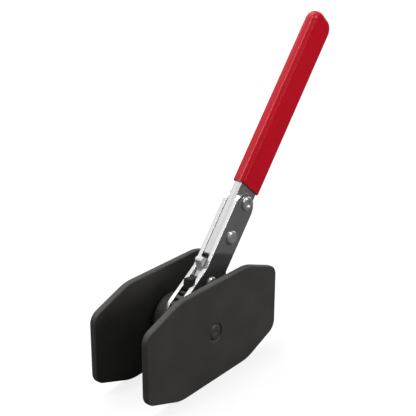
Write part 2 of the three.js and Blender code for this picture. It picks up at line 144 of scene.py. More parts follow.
PAWL_ROCK = math.radians(10)
PAWL_BUSH_RADIUS = 4.2
PAWL_BOSS_RADIUS = 5.6
CLAW_ANGLE = math.radians(37.5)
CLAW_TIP_RADIUS = 17
CLAW_ROOT_RADIUS = 20.6
CLAW_TIP_HALF_WIDTH = 0.7
CLAW_ROOT_HALF_WIDTH = 1.2
EAR = [                                # (x, z, corner radius) around the thumb lever and its cheek
    (-3, 29.5, 0.5), (-5.5, 36.2, 1), (-12.8, 35.9, 1.4), (-14.1, 34.4, 0.9), (-14.1, 32.8, 0.9),
    (-9.4, 29.6, 0.8), (-8.4, 28.4, 0.4), (-8.3, 23.6, 0.6), (-3, 22.6, 0.5)]
SHADE_START = 22.9                    # height up the handle below which the pawl is painted near black as shade
SHADE_FULL = 22.3
CHEEK_HALF = 9.2                       # the arms outboard of the cheek are painted near black as shade all over
ARM_TOP = 27.2
SHADE_FADE = 0.2                      # width of the painted shade's edge beside the cheek
ARM_FADE = 0.5                         # and above the arms

DETENT_HOLE_RADIUS = 1.6
DETENT_HOLE_DEPTH = 12
PLUNGER_RADIUS = 1.3
PLUNGER_LENGTH = 11.2
SPRING_RADIUS = 1.1
SPRING_WIRE_RADIUS = 0.25
SPRING_TURNS = 5
SPRING_STEPS = 24                      # steps in one turn
SPRING_LENGTH = 6.9


# ------------------------------------------------------------------ workshop: making and cutting

def clear_selection():
    """Nothing stays selected, so the next operator acts on the new piece alone."""
    for thing in bpy.context.selected_objects:
        thing.select_set(False)


def pick(piece):
    clear_selection()
    piece.select_set(True)
    bpy.context.view_layer.objects.active = piece


def arc(centre, radius, start, end, steps):
    """Points of an arc in (x, z), angles in radians from +X towards +Z."""
    angles = [start + (end - start) * step / steps for step in range(steps + 1)]
    return [(centre[0] + radius * math.cos(a), centre[1] + radius * math.sin(a)) for a in angles]


def rounded(corners, steps=8):
    """Outline through (x, z, radius) corners, with every corner rounded by its radius."""
    outline = []
    for index, (x, z, radius) in enumerate(corners):
        corner = Vector((x, z))
        back = (Vector(corners[index - 1][:2]) - corner).normalized()
        ahead = (Vector(corners[(index + 1) % len(corners)][:2]) - corner).normalized()
        half_angle = back.angle(ahead) / 2
        centre = corner + (back + ahead).normalized() * (radius / math.sin(half_angle))
        start = corner + back * (radius / math.tan(half_angle)) - centre
        sweep = math.pi - 2 * half_angle
        if back.x * ahead.y - back.y * ahead.x > 0:
            sweep = -sweep
        first = math.atan2(start.y, start.x)
        outline += arc(centre, radius, first, first + sweep, steps)
    return outline


def blank(name, outline, near, far):
    """A flat blank: its outline is laid out at near, filled, and drawn along Y to far."""
    clear_selection()
    bpy.ops.mesh.primitive_circle_add(vertices=len(outline), radius=MM, fill_type="NGON")
    piece = bpy.context.active_object
    piece.name = name
    for vertex, (x, z) in zip(piece.data.vertices, outline):
        vertex.co = (x * MM, near * MM, z * MM)
    bpy.ops.object.mode_set(mode="EDIT")
    bpy.ops.mesh.select_all(action="SELECT")
    bpy.ops.mesh.extrude_region_move(TRANSFORM_OT_translate={"value": (0, (far - near) * MM, 0)})
    tidy_faces()
    return piece


def tidy_faces():
    """Merges doubled points, turns every face outwards and leaves edit mode."""
    bpy.ops.mesh.select_all(action="SELECT")
    bpy.ops.mesh.remove_doubles(threshold=0.001 * MM)
    bpy.ops.mesh.normals_make_consistent(inside=False)
    bpy.ops.object.mode_set(mode="OBJECT")


def section(name, profile):
    """A closed loop of edges through (radius, y) points, laid out in the XY plane."""
    clear_selection()
    bpy.ops.mesh.primitive_circle_add(vertices=len(profile), radius=MM, fill_type="NOTHING")
    piece = bpy.context.active_object
    piece.name = name
    for vertex, (radius, y) in zip(piece.data.vertices, profile):
        vertex.co = (radius * MM, y * MM, 0)
    return piece


def open_section(piece):
    """Takes out the edge between a section's last point and its first."""
    closing = {0, len(piece.data.vertices) - 1}
    bpy.ops.object.mode_set(mode="EDIT")
    bpy.ops.mesh.select_mode(type="EDGE")
    bpy.ops.mesh.select_all(action="DESELECT")
    bpy.ops.object.mode_set(mode="OBJECT")
    for edge in piece.data.edges:
        edge.select = set(edge.vertices) == closing
    bpy.ops.object.mode_set(mode="EDIT")
    bpy.ops.mesh.delete(type="EDGE")
    bpy.ops.object.mode_set(mode="OBJECT")


def turned(name, profile, steps=72):
    """Spins a half profile of (radius, y) points about the Y axis, as on a lathe."""
    piece = section(name, profile)
    if profile[0][0] == 0 and profile[-1][0] == 0:
        open_section(piece)
    bpy.ops.object.mode_set(mode="EDIT")
    bpy.ops.mesh.select_mode(type="VERT")
    bpy.ops.mesh.select_all(action="SELECT")
    bpy.ops.mesh.spin(steps=steps, angle=2 * math.pi, center=(0, 0, 0), axis=(0, 1, 0))
    tidy_faces()
    return piece


def apply_modifiers(piece):
    pick(piece)
    for modifier in list(piece.modifiers):
        bpy.ops.object.modifier_apply(modifier=modifier.name)


def combine(piece, tools, operation):
    """Cuts tools out of a piece, or joins them to it, and throws the tools away."""
    for tool in tools:
        modifier = piece.modifiers.new("combine", "BOOLEAN")
        modifier.operation = operation
        modifier.solver = "EXACT"
        modifier.object = tool
        apply_modifiers(piece)
        bpy.data.objects.remove(tool)
    return piece


def cut(piece, *tools):
    return combine(piece, tools, "DIFFERENCE")


def join(piece, *tools):
    return combine(piece, tools, "UNION")


def soften(piece, width, segments=3, sharper_than=35):
    """Rounds every edge that is sharper than an angle."""
    modifier = piece.modifiers.new("soften", "BEVEL")
    modifier.width = width * MM
    modifier.segments = segments
    modifier.limit_method = "ANGLE"
    modifier.angle_limit = math.radians(sharper_than)
    modifier.use_clamp_overlap = True
    modifier.miter_outer = "MITER_ARC"
    apply_modifiers(piece)
    return piece


def soften_rim(piece, level, width, segments=4):
    """Rounds only the rim that lies at one level along Y."""
    pick(piece)
    at = level * MM
    near = 0.01 * MM
    bpy.ops.object.mode_set(mode="EDIT")
    bpy.ops.mesh.select_mode(type="EDGE")
    bpy.ops.mesh.select_all(action="DESELECT")
    bpy.ops.object.mode_set(mode="OBJECT")
    points = piece.data.vertices
    for edge in piece.data.edges:
        edge.select = all(abs(points[index].co.y - at) < near for index in edge.vertices)
    bpy.ops.object.mode_set(mode="EDIT")
    bpy.ops.mesh.bevel(offset=width * MM, segments=segments, affect="EDGES")
    bpy.ops.mesh.select_mode(type="VERT")
    tidy_faces()
    return piece


def shift(piece, x=0, y=0, z=0):
    piece.data.transform(Matrix.Translation((x * MM, y * MM, z * MM)))
    return piece


def drill(radius, near, far, x=0, z=0, steps=48):
    """A round cutter along Y."""
    profile = [(0, near), (radius, near), (radius, far), (0, far)]
    return shift(turned("drill", profile, steps), x=x, z=z)


def upright(piece):
    """Turns a piece that was spun about Y so that it stands along the handle."""
    piece.data.transform(Matrix.Rotation(math.radians(90), 4, "X"))
    return piece


def finish(piece, place, body, material, slot, *nodes, smooth=35):
    """Sets a piece in its place, shades it, gives it its finish and lets it stand for its nodes."""
    piece.data.transform(place)
    pick(piece)
    bpy.ops.object.shade_smooth_by_angle(angle=math.radians(smooth))
    modifier = piece.modifiers.new("even_shading", "WEIGHTED_NORMAL")
    modifier.keep_sharp = True
    apply_modifiers(piece)
    piece.data.materials.clear()
    piece.data.materials.append(material)
    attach(piece, body)
    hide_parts(*nodes)
    return piece


# ------------------------------------------------------------------ finishes: shared effects

NOISE_LOW = 0.3
NOISE_HIGH = 0.7

class Graph:
    """Short calls for adding nodes to a tree and wiring them."""

    def __init__(self, tree):
        self.tree = tree

    def node(self, kind, settings=None, **inputs):
        made = self.tree.nodes.new(kind)
        for key, value in (settings or {}).items():
            setattr(made, key, value)
        for key, value in inputs.items():
            self.feed(made.inputs[key.replace("_", " ")], value)
        return made

    def feed(self, socket, value):
        if isinstance(value, bpy.types.NodeSocket):
            self.tree.links.new(value, socket)
        else:
            socket.default_value = value

    def math(self, operation, first, second=0.0, third=0.0, clamp=False):
        made = self.tree.nodes.new("ShaderNodeMath")
        made.operation = operation
        made.use_clamp = clamp
        for socket, value in zip(made.inputs, (first, second, third)):
            self.feed(socket, value)
        return made.outputs[0]

    def mix(self, factor, first, second):
        made = self.tree.nodes.new("ShaderNodeMix")
        made.data_type = "RGBA"
        self.feed(made.inputs["Factor"], factor)
        self.feed(made.inputs[6], first)
        self.feed(made.inputs[7], second)
        return made.outputs[2]

    def spread(self, value, low, high, out_low, out_high):
        made = self.node("ShaderNodeMapRange", {"clamp": True}, Value=value)
        bounds = {"From Min": low, "From Max": high, "To Min": out_low, "To Max": out_high}
        for name, number in bounds.items():
            self.feed(made.inputs[name], number)
        return made.outputs["Result"]

    def vary(self, noise, out_low, out_high):
        """Spreads a noise's middle range, where most of it lies, over a range of values."""
        return self.spread(noise, NOISE_LOW, NOISE_HIGH, out_low, out_high)


def effect(name, inputs, outputs):
    """A new shader node group with named inputs and outputs."""
    group = bpy.data.node_groups.new(name, "ShaderNodeTree")
    for label, kind, value in inputs:
        socket = group.interface.new_socket(name=label, in_out="INPUT", socket_type=kind)
        socket.default_value = value
    for label, kind in outputs:
        group.interface.new_socket(name=label, in_out="OUTPUT", socket_type=kind)
    graph = Graph(group)
    source = group.nodes.new("NodeGroupInput").outputs
    sink = group.nodes.new("NodeGroupOutput").inputs
    return group, graph, source, sink


NUMBER = "NodeSocketFloat"
POINT = "NodeSocketVector"


def make_edge_wear():
    """Mask that is 1 on rubbed edges and 0 on open faces, broken up by noise."""
    group, graph, source, sink = effect(
        "edge_wear",
        [("Place", POINT, (0, 0, 0)), ("Reach", NUMBER, 0.0006), ("Break up", NUMBER, 900.0),
         ("Amount", NUMBER, 1.0)],
        [("Mask", NUMBER)])
    rounded_normal = graph.node("ShaderNodeBevel", {"samples": 4}, Radius=source["Reach"])
    flat_normal = graph.node("ShaderNodeNewGeometry")
    likeness = graph.node("ShaderNodeVectorMath", {"operation": "DOT_PRODUCT"})
    graph.feed(likeness.inputs[0], rounded_normal.outputs["Normal"])
    graph.feed(likeness.inputs[1], flat_normal.outputs["Normal"])
    edge = graph.spread(likeness.outputs["Value"], 0.995, 0.86, 0.0, 1.0)
    noise = graph.node("ShaderNodeTexNoise", Vector=source["Place"], Scale=source["Break up"], Detail=3.0)
    broken = graph.spread(noise.outputs["Fac"], 0.35, 0.62, 0.25, 1.0)
    worn = graph.math("MULTIPLY", edge, broken)
    graph.feed(sink["Mask"], graph.math("MULTIPLY", worn, source["Amount"], clamp=True))
    return group


def make_grain():
    """Fine even grain with a slower mottle under it."""
    group, graph, source, sink = effect(
        "grain",
        [("Place", POINT, (0, 0, 0)), ("Fine", NUMBER, 2500.0), ("Slow", NUMBER, 60.0)],
        [("Grain", NUMBER), ("Mottle", NUMBER)])
    place = source["Place"]
    fine = graph.node("ShaderNodeTexNoise", Vector=place, Scale=source["Fine"], Detail=4.0, Roughness=0.6)
    slow = graph.node("ShaderNodeTexNoise", Vector=place, Scale=source["Slow"], Detail=5.0, Roughness=0.55)
    graph.feed(sink["Grain"], fine.outputs["Fac"])
    graph.feed(sink["Mottle"], slow.outputs["Fac"])
    return group


def make_brushing():
    """Long fine lines along the local Z of the given place."""
    group, graph, source, sink = effect(
        "brushing",
        [("Place", POINT, (0, 0, 0)), ("Fineness", NUMBER, 1.0)],
        [("Lines", NUMBER), ("Streaks", NUMBER)])
    stretched = graph.node("ShaderNodeMapping", Vector=source["Place"])
    stretched.inputs["Scale"].default_value = (5200, 5200, 60)
    finer = graph.node("ShaderNodeVectorMath", {"operation": "SCALE"})
    graph.feed(finer.inputs[0], stretched.outputs["Vector"])
    graph.feed(finer.inputs["Scale"], source["Fineness"])
    lines = graph.node("ShaderNodeTexNoise", Vector=finer.outputs["Vector"], Scale=1.0, Detail=3.0)
    broad = graph.node("ShaderNodeMapping", Vector=source["Place"])
    broad.inputs["Scale"].default_value = (700, 700, 9)
    streaks = graph.node("ShaderNodeTexNoise", Vector=broad.outputs["Vector"], Scale=1.0, Detail=2.0)
    graph.feed(sink["Lines"], lines.outputs["Fac"])
    graph.feed(sink["Streaks"], streaks.outputs["Fac"])
    return group


def make_scuffs():
    """Sparse hairline scratches in two directions."""
    group, graph, source, sink = effect(
        "scuffs",
        [("Place", POINT, (0, 0, 0)), ("Density", NUMBER, 1.0)],
        [("Scuffs", NUMBER)])
    masks = []
    for turn, scale in ((0.5, (90, 90, 2600)), (-0.9, (2200, 120, 140))):
        turned_place = graph.node("ShaderNodeMapping", Vector=source["Place"])
        turned_place.inputs["Rotation"].default_value = (0.1, turn, 0.2)
        turned_place.inputs["Scale"].default_value = scale
        noise = graph.node("ShaderNodeTexNoise", Vector=turned_place.outputs["Vector"], Scale=1.0, Detail=1.0)
        masks.append(graph.spread(noise.outputs["Fac"], 0.70, 0.76, 0.0, 1.0))
    both = graph.math("MAXIMUM", masks[0], masks[1])
    graph.feed(sink["Scuffs"], graph.math("MULTIPLY", both, source["Density"], clamp=True))
    return group


EDGE_WEAR = make_edge_wear()
GRAIN = make_grain()
BRUSHING = make_brushing()
SCUFFS = make_scuffs()


# Colours in linear light, as red, green, blue and 1.
COAT_DARK = (0.038, 0.0366, 0.0342, 1)
COAT_LIGHT = (0.053, 0.0510, 0.0474, 1)
COAT_SPECKLE = (0.075, 0.074, 0.071, 1)
COAT_RUBBED = (0.14, 0.137, 0.132, 1)
PLATING_SCUFF = (0.85, 0.85, 0.86, 1)
SATIN_DARK = (0.60, 0.60, 0.595, 1)
SATIN_LIGHT = (0.70, 0.70, 0.695, 1)
SATIN_EDGE = (0.75, 0.75, 0.75, 1)
PAINTED_SHADE = (0.012, 0.011, 0.010, 1)
MACHINED_DARK = (0.085, 0.072, 0.062, 1)
MACHINED_LIGHT = (0.15, 0.132, 0.118, 1)
MACHINED_EDGE = (0.42, 0.40, 0.38, 1)
VINYL_DEEP = (0.60, 0.0003, 0.012, 1)
VINYL_PALE = (0.67, 0.0006, 0.016, 1)
VINYL_SCUFF = (0.7, 0.05, 0.06, 1)
BRONZE_DARK = (0.40, 0.26, 0.11, 1)
BRONZE_LIGHT = (0.55, 0.38, 0.18, 1)
STREAK_DULLING = 0.80                  # how bright the dullest brushed streak is, beside the plating
TURNING_PITCH = 0.00032                # metres between the screw's turning rings


def start_material(name):
    """A material with its shader, object coordinates and coordinates that lean with the handle."""
    material = bpy.data.materials.new(name)
    material.use_nodes = True
    tree = material.node_tree
    graph = Graph(tree)
    shader = tree.nodes["Principled BSDF"]
    place = graph.node("ShaderNodeTexCoord").outputs["Object"]
    leaned = graph.node("ShaderNodeMapping", {"vector_type": "TEXTURE"}, Vector=place)
    leaned.inputs["Location"].default_value = HEAD_CENTRE
    leaned.inputs["Rotation"].default_value = (0, HANDLE_LEAN, 0)
    return material, graph, shader, place, leaned.outputs["Vector"]


def use(graph, group, **inputs):
    node = graph.tree.nodes.new("ShaderNodeGroup")
    node.node_tree = group
    for key, value in inputs.items():
        graph.feed(node.inputs[key.replace("_", " ")], value)
    return node.outputs


def bump(graph, shader, height, distance, strength):
    node = graph.node("ShaderNodeBump", Height=height)
    node.inputs["Distance"].default_value = distance
    node.inputs["Strength"].default_value = strength
    graph.feed(shader.inputs["Normal"], node.outputs["Normal"])


def blackened_steel():
    """Black satin coating over steel: fine grain, faint mottle, edges rubbed to a dull grey."""
    material, graph, shader, place, _ = start_material("blackened_steel")
    grain = use(graph, GRAIN, Place=place, Fine=3200.0, Slow=55.0)
    wear = use(graph, EDGE_WEAR, Place=place, Reach=0.0007, Break_up=500.0, Amount=0.75)
    scuffs = use(graph, SCUFFS, Place=place, Density=0.25)
    coat = graph.mix(graph.vary(grain["Mottle"], 0.0, 1.0), COAT_DARK, COAT_LIGHT)
    speckle = graph.spread(grain["Grain"], 0.42, 0.75, 0.0, 0.35)
    coat = graph.mix(speckle, coat, COAT_SPECKLE)
    rubbed = graph.math("MAXIMUM", wear["Mask"], graph.math("MULTIPLY", scuffs["Scuffs"], 0.4))
    graph.feed(shader.inputs["Base Color"], graph.mix(rubbed, coat, COAT_RUBBED))
    rough = graph.spread(grain["Mottle"], 0.25, 0.75, 0.50, 0.60)
    smoothed = graph.math("MULTIPLY", wear["Mask"], 0.15)
    graph.feed(shader.inputs["Roughness"], graph.math("SUBTRACT", rough, smoothed))
    shader.inputs["Specular IOR Level"].default_value = 0.45
    bump(graph, shader, grain["Grain"], distance=0.00006, strength=0.6)
    return material


def plated_steel(name, colour, brushed, roughness, metal=1.0):
    """Bright plating: brushing along the handle, faint streaks, hairline scuffs."""
    material, graph, shader, place, leaned = start_material(name)
    lines = use(graph, BRUSHING, Place=leaned, Fineness=1.0)
    grain = use(graph, GRAIN, Place=place, Fine=1500.0, Slow=110.0)
    scuffs = use(graph, SCUFFS, Place=leaned, Density=0.5)
    dull = tuple(channel * STREAK_DULLING for channel in colour)
    streak = graph.math("MULTIPLY", graph.vary(lines["Streaks"], 0.0, 1.0), brushed)
    tone = graph.mix(streak, (*colour, 1), (*dull, 1))
    tone = graph.mix(graph.math("MULTIPLY", scuffs["Scuffs"], 0.2), tone, PLATING_SCUFF)
    graph.feed(shader.inputs["Base Color"], tone)
    shader.inputs["Metallic"].default_value = metal
    rough = graph.vary(lines["Lines"], roughness * 0.8, roughness * 1.2)
    patches = graph.spread(grain["Mottle"], 0.4, 0.7, 0.0, 0.02)
    graph.feed(shader.inputs["Roughness"], graph.math("ADD", rough, patches))
    bump(graph, shader, lines["Lines"], distance=0.00001, strength=0.12 * brushed + 0.03)
    return material


def satin_pawl():
    """Satin plating on a sintered rocker, with painted shade: near black low down on the claws and on the -X
    arm outboard of the cheek.
    """
    material, graph, shader, place, leaned = start_material("satin_pawl")
    grain = use(graph, GRAIN, Place=place, Fine=2600.0, Slow=240.0)
    wear = use(graph, EDGE_WEAR, Place=place, Reach=0.0003, Break_up=1200.0, Amount=0.5)
    split = graph.node("ShaderNodeSeparateXYZ", Vector=leaned).outputs
    # Painted shade: the claws low down and the -X arm outboard of the cheek go near black, duller and less
    # metallic, as they sit in shade between the side plates.
    ragged = graph.math("ADD", split["Z"], graph.vary(grain["Mottle"], -0.0002, 0.0002))
    low = graph.spread(ragged, SHADE_FULL * MM, SHADE_START * MM, 1.0, 0.0)
    outboard = graph.spread(split["X"], -CHEEK_HALF * MM, (-CHEEK_HALF + SHADE_FADE) * MM, 1.0, 0.0)
    beneath = graph.spread(split["Z"], ARM_TOP * MM, (ARM_TOP + ARM_FADE) * MM, 1.0, 0.0)
    shade_mask = graph.math("MAXIMUM", low, graph.math("MULTIPLY", outboard, beneath))
    satin = graph.mix(graph.vary(grain["Mottle"], 0.0, 1.0), SATIN_DARK, SATIN_LIGHT)
    satin = graph.mix(wear["Mask"], satin, SATIN_EDGE)
    graph.feed(shader.inputs["Base Color"], graph.mix(shade_mask, satin, PAINTED_SHADE))
    unshaded = graph.math("SUBTRACT", 1.0, shade_mask)
    graph.feed(shader.inputs["Metallic"], graph.math("MULTIPLY", unshaded, 0.4))
    rough = graph.vary(grain["Grain"], 0.40, 0.52)
    graph.feed(shader.inputs["Roughness"], graph.math("ADD", rough, graph.math("MULTIPLY", shade_mask, 0.35)))
    bump(graph, shader, grain["Grain"], distance=0.00004, strength=0.5)
    return material


def dark_screw_steel():
    """Oiled machined steel with turning rings about the screw axis."""
    material, graph, shader, place, _ = start_material("screw_steel")
    centred = graph.node("ShaderNodeMapping", {"vector_type": "TEXTURE"}, Vector=place)
    centred.inputs["Location"].default_value = HEAD_CENTRE
    split = graph.node("ShaderNodeSeparateXYZ", Vector=centred.outputs["Vector"])
    across = graph.math("POWER", split.outputs["X"], 2.0)
    upward = graph.math("POWER", split.outputs["Z"], 2.0)
    radius = graph.math("SQRT", graph.math("ADD", across, upward))
    rings = graph.math("SINE", graph.math("MULTIPLY", radius, 2 * math.pi / TURNING_PITCH))
    grain = use(graph, GRAIN, Place=place, Fine=1800.0, Slow=350.0)
    wear = use(graph, EDGE_WEAR, Place=place, Reach=0.0005, Break_up=1500.0, Amount=1.0)
    tone = graph.mix(graph.vary(grain["Mottle"], 0.0, 1.0), MACHINED_DARK, MACHINED_LIGHT)
    graph.feed(shader.inputs["Base Color"], graph.mix(wear["Mask"], tone, MACHINED_EDGE))
    shader.inputs["Metallic"].default_value = 0.6
    graph.feed(shader.inputs["Roughness"], graph.spread(rings, -1.0, 1.0, 0.38, 0.50))
    bump(graph, shader, graph.math("ADD", rings, grain["Grain"]), distance=0.00002, strength=0.35)
    return material


def dipped_vinyl():
    """Thick dipped vinyl: deep red, soft gloss, faint flow ripples and fine pores."""
    material, graph, shader, place, leaned = start_material("dipped_vinyl")
    grain = use(graph, GRAIN, Place=place, Fine=1400.0, Slow=38.0)
    flow_place = graph.node("ShaderNodeMapping", Vector=leaned)
    flow_place.inputs["Scale"].default_value = (160, 160, 45)
    flow = graph.node("ShaderNodeTexNoise", Vector=flow_place.outputs["Vector"], Scale=1.0, Detail=2.0)
    scuffs = use(graph, SCUFFS, Place=leaned, Density=0.35)
    tone = graph.mix(graph.vary(grain["Mottle"], 0.0, 1.0), VINYL_DEEP, VINYL_PALE)
    pale_scuff = graph.math("MULTIPLY", scuffs["Scuffs"], 0.15)
    graph.feed(shader.inputs["Base Color"], graph.mix(pale_scuff, tone, VINYL_SCUFF))
    rough = graph.spread(grain["Grain"], 0.35, 0.7, 0.17, 0.23)
    dull_scuff = graph.math("MULTIPLY", scuffs["Scuffs"], 0.12)
    graph.feed(shader.inputs["Roughness"], graph.math("ADD", rough, dull_scuff))
    shader.inputs["Specular IOR Level"].default_value = 0.28
    ripples = graph.math("MULTIPLY", flow.outputs["Fac"], 4.0)
    pores = graph.math("MULTIPLY", grain["Grain"], 0.35)
    bump(graph, shader, graph.math("ADD", ripples, pores), distance=0.00004, strength=0.2)
    return material


def bearing_bronze():
    """Plain bearing bronze with a fine matt grain."""
    material, graph, shader, place, _ = start_material("bearing_bronze")
    grain = use(graph, GRAIN, Place=place, Fine=2200.0, Slow=300.0)
    tone = graph.mix(graph.vary(grain["Mottle"], 0.0, 1.0), BRONZE_DARK, BRONZE_LIGHT)
    graph.feed(shader.inputs["Base Color"], tone)
    shader.inputs["Metallic"].default_value = 1.0
    graph.feed(shader.inputs["Roughness"], graph.vary(grain["Grain"], 0.30, 0.45))
    bump(graph, shader, grain["Grain"], distance=0.00002, strength=0.3)
    return material


BLACK = blackened_steel()
SCREW = dark_screw_steel()
PLATING = plated_steel("plated_strip", (0.63, 0.63, 0.632), brushed=0.6, roughness=0.12, metal=0.93)
RIVET_PLATING = plated_steel("plated_rivet", (0.74, 0.74, 0.74), brushed=0.2, roughness=0.15, metal=0.8)
PAWL_PLATING = satin_pawl()
BAR_STEEL = plated_steel("drawn_bar", (0.60, 0.60, 0.595), brushed=1.0, roughness=0.17, metal=0.86)
SPRING_STEEL = plated_steel("spring_steel", (0.42, 0.43, 0.44), brushed=0.3, roughness=0.28)
VINYL = dipped_vinyl()
BRONZE = bearing_bronze()


# ------------------------------------------------------------------ press plates and screws

def press_plate(name, body, node, outer, inward):
    """One octagonal plate. Outer is its press face, inward is +1 or -1 along Y."""
    end, shoulder = PLATE_END, PLATE_SHOULDER
    around = ((1, -1, end), (1, 1, end), (1, 1, shoulder), (-1, 1, shoulder),
              (-1, 1, end), (-1, -1, end), (-1, -1, shoulder), (1, -1, shoulder))
    corners = [(right * x, up * z, radius) for right, up, (x, z, radius) in around]
    inner = outer + inward * PLATE_THICKNESS
    plate = blank(name, rounded(corners, 10), min(outer, inner), max(outer, inner))
    soften(plate, PLATE_EDGE_ROUND, 5)
    sink = outer + inward * COUNTERSINK_DEPTH
    mouth = COUNTERSINK_RADIUS + COUNTERSINK_LIP
    bore = SPIGOT_RADIUS + CLEARANCE
    hole = turned("hole", [
        (0, outer - inward), (mouth, outer - inward), (mouth, outer),
        (COUNTERSINK_RADIUS, outer + inward * COUNTERSINK_LIP),
        (COUNTERSINK_RADIUS - COUNTERSINK_TAPER, sink), (bore, sink),
        (bore, inner + inward), (0, inner + inward)])
    cut(plate, hole)
    return finish(plate, PRESS_PLACE, body, BLACK, "black_oxide", node)


def threaded_rod(name, near, far, hand):
    """A trapezoidal thread, cut square at both ends. Hand is +1 for right and -1 for left."""
    half = THREAD_PITCH / 2
    crest = THREAD_PITCH * THREAD_CREST_SHARE
    flank = THREAD_PITCH * THREAD_FLANK_SHARE
    root = THREAD_RADIUS - THREAD_DEPTH
    one_pitch = ((0, root), (half - crest - flank, root), (half - crest, THREAD_RADIUS),
                 (half + crest, THREAD_RADIUS), (half + crest + flank, root))
    turns = math.ceil((far - near) / THREAD_PITCH) + 2
    starts = [near - THREAD_PITCH + turn * THREAD_PITCH for turn in range(turns)]
    rod = section(name, [(radius, start + offset) for start in starts for offset, radius in one_pitch])
    open_section(rod)
    winding = rod.modifiers.new("wind", "SCREW")
    winding.axis = "Y"
    winding.angle = hand * 2 * math.pi
    winding.screw_offset = THREAD_PITCH * MM
    winding.steps = THREAD_STEPS
    winding.render_steps = THREAD_STEPS
    apply_modifiers(rod)
    bpy.ops.object.mode_set(mode="EDIT")
    bpy.ops.mesh.select_mode(type="VERT")
    for level, above in ((near, False), (far, True)):
        bpy.ops.mesh.select_all(action="SELECT")
        bpy.ops.mesh.remove_doubles(threshold=0.001 * MM)
        bpy.ops.mesh.select_all(action="SELECT")
        bpy.ops.mesh.bisect(plane_co=(0, level * MM, 0), plane_no=(0, 1, 0), use_fill=True,
                            clear_inner=not above, clear_outer=above)
    tidy_faces()
    return rod


def screw(name, body, node, outer, inward, hand):
    """Swaged head, spigot through the plate, shoulder and thread."""
    face = outer + inward * SPIGOT_RECESS
    shoulder = outer + inward * (PLATE_THICKNESS + CLEARANCE)
    end = -inward * SCREW_INNER_END
    rod = threaded_rod(name, min(shoulder + inward, end), max(shoulder + inward, end), hand)
    flat = THREAD_RADIUS - SCREW_END_CHAMFER
    past = THREAD_RADIUS + 1
    tip = turned("tip_cut", [(flat, end), (past, end - inward * (SCREW_END_CHAMFER + 1)),
                             (past, end + inward), (flat, end + inward)])
    cut(rod, tip)
    root_start = shoulder + inward * THREAD_RUN_OUT
    head = turned("spigot", [(radius, face + inward * depth) for radius, depth in SWAGED_HEAD] + [
        (SPIGOT_RADIUS, shoulder), (THREAD_RADIUS - SHOULDER_CHAMFER, shoulder),
        (THREAD_RADIUS, shoulder + inward * SHOULDER_CHAMFER),
        (THREAD_RADIUS, shoulder + inward * SHOULDER_LENGTH),
        (THREAD_RADIUS - THREAD_DEPTH, root_start), (0, root_start)])
    join(rod, head)
    return finish(rod, PRESS_PLACE, body, SCREW, "screw_steel", node, smooth=30)


# ------------------------------------------------------------------ ratchet wheel

def tooth_outline():
    """Outline of the ring's square teeth, one tooth and one space after another."""
    pitch = 2 * math.pi / TOOTH_COUNT
    half = pitch * TOOTH_SHARE / 2
    one_tooth = ((-half, TOOTH_ROOT_RADIUS), (-half, TOOTH_TIP_RADIUS), (0, TOOTH_TIP_RADIUS),
                 (half, TOOTH_TIP_RADIUS), (half, TOOTH_ROOT_RADIUS), (pitch / 2, TOOTH_ROOT_RADIUS))
    places = [(tooth * pitch + angle, radius) for tooth in range(TOOTH_COUNT) for angle, radius in one_tooth]
    return [(radius * math.sin(angle), radius * math.cos(angle)) for angle, radius in places]


def key_cutters(radius, half):
    return [drill(radius, -half, half, x=side * SLEEVE_RADIUS, steps=32) for side in (1, -1)]


def toothed_ring():
    ring = blank("toothed_ring", tooth_outline(), -PIECE_HALF, PIECE_HALF)
    bore = drill(SLEEVE_RADIUS + CLEARANCE, -PIECE_HALF - 1, PIECE_HALF + 1, steps=96)
    recess = WASHER_RADIUS + CLEARANCE
    pockets = [drill(recess, *reach, steps=96)
               for reach in ((-PIECE_HALF - 1, -WEB_HALF), (WEB_HALF, PIECE_HALF + 1))]
    cut(ring, bore, *pockets, *key_cutters(KEY_RADIUS + CLEARANCE, PIECE_HALF))
    soften(ring, 0.18, 2, 40)
    return finish(ring, HANDLE_PLACE, "drive_wheel", BLACK, "black_oxide", "ratchet_ring")


def sleeve_drum():
    """Sleeve with chamfered ends, a shallow turned groove near each end and a plain bore."""
    bore = THREAD_RADIUS + CLEARANCE
    end = SLEEVE_HALF_LENGTH
    floor = SLEEVE_RADIUS - SLEEVE_GROOVE_DEPTH
    groove = [(radius, end - back) for radius, back in
              zip((SLEEVE_RADIUS, floor, floor, SLEEVE_RADIUS), SLEEVE_GROOVE)]
    half = [(bore + SLEEVE_CHAMFER, end), (SLEEVE_RADIUS - SLEEVE_CHAMFER, end),
            (SLEEVE_RADIUS, end - SLEEVE_CHAMFER), *groove, (SLEEVE_RADIUS, SLEEVE_PLAIN_HALF)]
    mouths = [(bore, SLEEVE_CHAMFER - end), (bore, end - SLEEVE_CHAMFER)]
    drum = turned("sleeve_drum", half + [(radius, -y) for radius, y in reversed(half)] + mouths, 128)
    soften(drum, 0.15, 2, 25)
    cut(drum, *key_cutters(KEY_RADIUS + CLEARANCE, WEB_HALF + CLEARANCE))
    return finish(drum, HANDLE_PLACE, "drive_wheel", BLACK, "black_oxide", "threaded_sleeve")


def sleeve_key(name, node, side):
    key = turned(name, [(0, -WEB_HALF), (KEY_RADIUS, -WEB_HALF), (KEY_RADIUS, WEB_HALF), (0, WEB_HALF)], 32)
    soften(key, 0.25, 3)
    shift(key, x=side * SLEEVE_RADIUS)
    return finish(key, HANDLE_PLACE, "drive_wheel", SPRING_STEEL, "spring_steel", node)


def thrust_washer(name, node, side):
    inner = SLEEVE_RADIUS + CLEARANCE
    low, high = sorted((side * PIECE_HALF, side * (PIECE_HALF - WASHER_THICKNESS)))
    washer = turned(name, [(inner, low), (WASHER_RADIUS, low), (WASHER_RADIUS, high), (inner, high)], 96)
    soften(washer, 0.1, 2)
    return finish(washer, HANDLE_PLACE, "head_washers", BRONZE, "bronze", node)


# ------------------------------------------------------------------ handle

